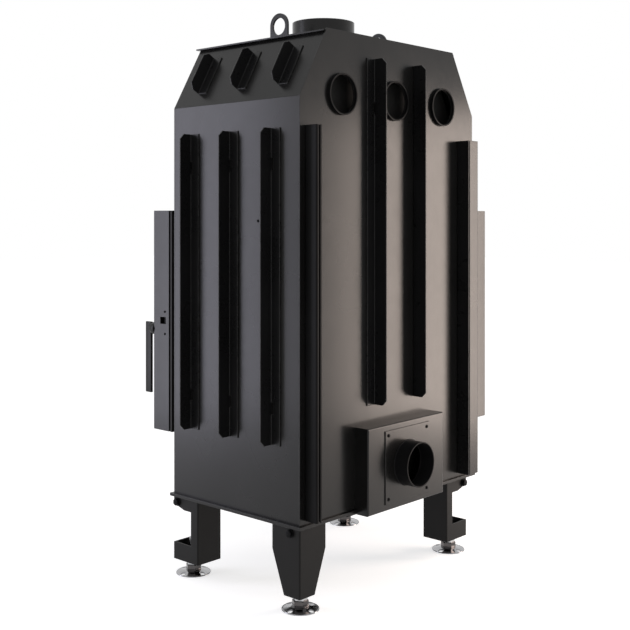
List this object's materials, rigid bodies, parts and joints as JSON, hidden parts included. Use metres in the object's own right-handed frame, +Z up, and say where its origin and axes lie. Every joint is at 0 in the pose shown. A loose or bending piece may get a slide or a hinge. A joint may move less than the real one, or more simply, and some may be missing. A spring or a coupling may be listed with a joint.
{
  "type": "fireplace insert",
  "caption": "Steel corner fireplace insert with an L-shaped glazed door, finned casing, hood, flue collar, hot-air collars, air inlet and levelling feet.",
  "frame": {"origin": "middle of the whole insert's footprint, on the floor under the foot pads", "axes": "+Z up; -Y is the front with the wide pane and the handle, -X the glazed side, +X the closed side with three fins, +Y the back with the air inlet"},
  "size_m": [0.901, 0.7642, 1.6],
  "materials": {
    "stove_black": "satin heat-proof black paint",
    "fin_black": "satin heat-proof black paint",
    "leg_black": "satin heat-proof black paint",
    "chrome_foot": "bright plated steel",
    "black_fastener": "blackened steel",
    "handle_black": "satin black",
    "latch_chrome": "bright plated steel",
    "plain_steel": "mill steel",
    "clear_glass": "clear ceramic glass",
    "gasket_rope": "woven glass-fibre rope",
    "lining_board": "pressed vermiculite board",
    "cast_grate": "rough cast iron",
    "shell_black": "matt heat-proof black"
  },
  "bodies": {
    "casing": {"base_plate": "stove_black", "right_wall": "stove_black", "left_wall": "stove_black", "back_panel": "stove_black", "front_panel": "stove_black", "top_plate": "stove_black", "door_surround": "stove_black", "flue_collar": "stove_black", "hot_air_collars": "stove_black", "air_box": "stove_black", "air_box_cover": "stove_black", "air_pipe": "stove_black", "lifting_lugs": "stove_black", "side_fin_1": "fin_black", "side_fin_2": "fin_black", "side_fin_3": "fin_black", "hood_fins_right": "fin_black", "hood_fins_left": "fin_black", "back_fin_right": "fin_black", "back_fin_left": "fin_black", "corner_rail_right": "fin_black", "corner_rail_left": "fin_black", "leg_back_right": "leg_black", "leg_back_left": "leg_black", "leg_front_right": "leg_black", "leg_front_left": "leg_black", "leg_tabs": "leg_black", "air_cover_screws": "black_fastener", "leg_bolts": "black_fastener", "hinge_pins": "black_fastener", "hinge_brackets": "black_fastener", "latch_keeper": "plain_steel", "damper_housing": "plain_steel", "slide_guide": "plain_steel", "ash_pan": "plain_steel", "side_lining": "lining_board", "back_lining": "lining_board", "floor_lining": "lining_board", "baffle": "lining_board", "grate": "cast_grate", "log_guard": "cast_grate", "firebox_shell": "shell_black", "hearth_plate": "shell_black", "baffle_ledge": "shell_black"},
    "door": {"door_frame": "stove_black", "front_glass": "clear_glass", "side_glass": "clear_glass", "glass_clips": "plain_steel", "door_gasket": "gasket_rope", "latch_case": "plain_steel", "latch_screws": "black_fastener"},
    "handle": {"handle": "handle_black", "latch_hook": "latch_chrome"},
    "air_slide": {"air_slide": "plain_steel"},
    "damper_flap": {"damper_flap": "plain_steel"},
    "pad_back_right": {"foot_pad_back_right": "chrome_foot"},
    "stem_back_right": {"foot_stem_back_right": "chrome_foot", "lock_nut_back_right": "plain_steel"},
    "pad_back_left": {"foot_pad_back_left": "chrome_foot"},
    "stem_back_left": {"foot_stem_back_left": "chrome_foot", "lock_nut_back_left": "plain_steel"},
    "pad_front_right": {"foot_pad_front_right": "chrome_foot"},
    "stem_front_right": {"foot_stem_front_right": "chrome_foot", "lock_nut_front_right": "plain_steel"},
    "pad_front_left": {"foot_pad_front_left": "chrome_foot"},
    "stem_front_left": {"foot_stem_front_left": "chrome_foot", "lock_nut_front_left": "plain_steel"}
  },
  "joints": [
    {"name": "door_hinge", "type": "hinge", "parent": "casing", "child": "door", "pos_m": [-0.4385, 0.24555, 0.72], "axis": [0, 0, -1], "range_deg": [0, 90]},
    {"name": "handle_turn", "type": "hinge", "parent": "door", "child": "handle", "pos_m": [0.3695, -0.33945, 0.693], "axis": [0, -1, 0], "range_deg": [0, 90]},
    {"name": "air_slide_travel", "type": "slide", "parent": "casing", "child": "air_slide", "axis": [1, 0, 0], "range_m": [-0.025, 0.025]},
    {"name": "damper_turn", "type": "hinge", "parent": "casing", "child": "damper_flap", "pos_m": [0.0235, 0.19055, 0.341], "axis": [0, 0, 1], "range_deg": [-33, 33]},
    {"name": "foot_lift_back_right", "type": "slide", "parent": "casing", "child": "pad_back_right", "axis": [0, 0, 1], "range_m": [-0.025, 0.01]},
    {"name": "stem_turn_back_right", "type": "hinge", "parent": "pad_back_right", "child": "stem_back_right", "pos_m": [0.3559, 0.23855, 0.02], "axis": [0, 0, 1], "range_deg": [-3000, 1200]},
    {"name": "foot_lift_back_left", "type": "slide", "parent": "casing", "child": "pad_back_left", "axis": [0, 0, 1], "range_m": [-0.025, 0.01]},
    {"name": "stem_turn_back_left", "type": "hinge", "parent": "pad_back_left", "child": "stem_back_left", "pos_m": [-0.3089, 0.23855, 0.02], "axis": [0, 0, 1], "range_deg": [-3000, 1200]},
    {"name": "foot_lift_front_right", "type": "slide", "parent": "casing", "child": "pad_front_right", "axis": [0, 0, 1], "range_m": [-0.025, 0.01]},
    {"name": "stem_turn_front_right", "type": "hinge", "parent": "pad_front_right", "child": "stem_front_right", "pos_m": [0.3559, -0.18385, 0.02], "axis": [0, 0, 1], "range_deg": [-3000, 1200]},
    {"name": "foot_lift_front_left", "type": "slide", "parent": "casing", "child": "pad_front_left", "axis": [0, 0, 1], "range_m": [-0.025, 0.01]},
    {"name": "stem_turn_front_left", "type": "hinge", "parent": "pad_front_left", "child": "stem_front_left", "pos_m": [-0.3089, -0.18385, 0.02], "axis": [0, 0, 1], "range_deg": [-3000, 1200]}
  ],
  "couplings": [
    {"joint": "damper_turn", "follows": "air_slide_travel", "rad_per_m": 22.3},
    {"joint": "stem_turn_back_right", "follows": "foot_lift_back_right", "rad_per_m": 2094.4},
    {"joint": "stem_turn_back_left", "follows": "foot_lift_back_left", "rad_per_m": 2094.4},
    {"joint": "stem_turn_front_right", "follows": "foot_lift_front_right", "rad_per_m": 2094.4},
    {"joint": "stem_turn_front_left", "follows": "foot_lift_front_left", "rad_per_m": 2094.4}
  ]
}
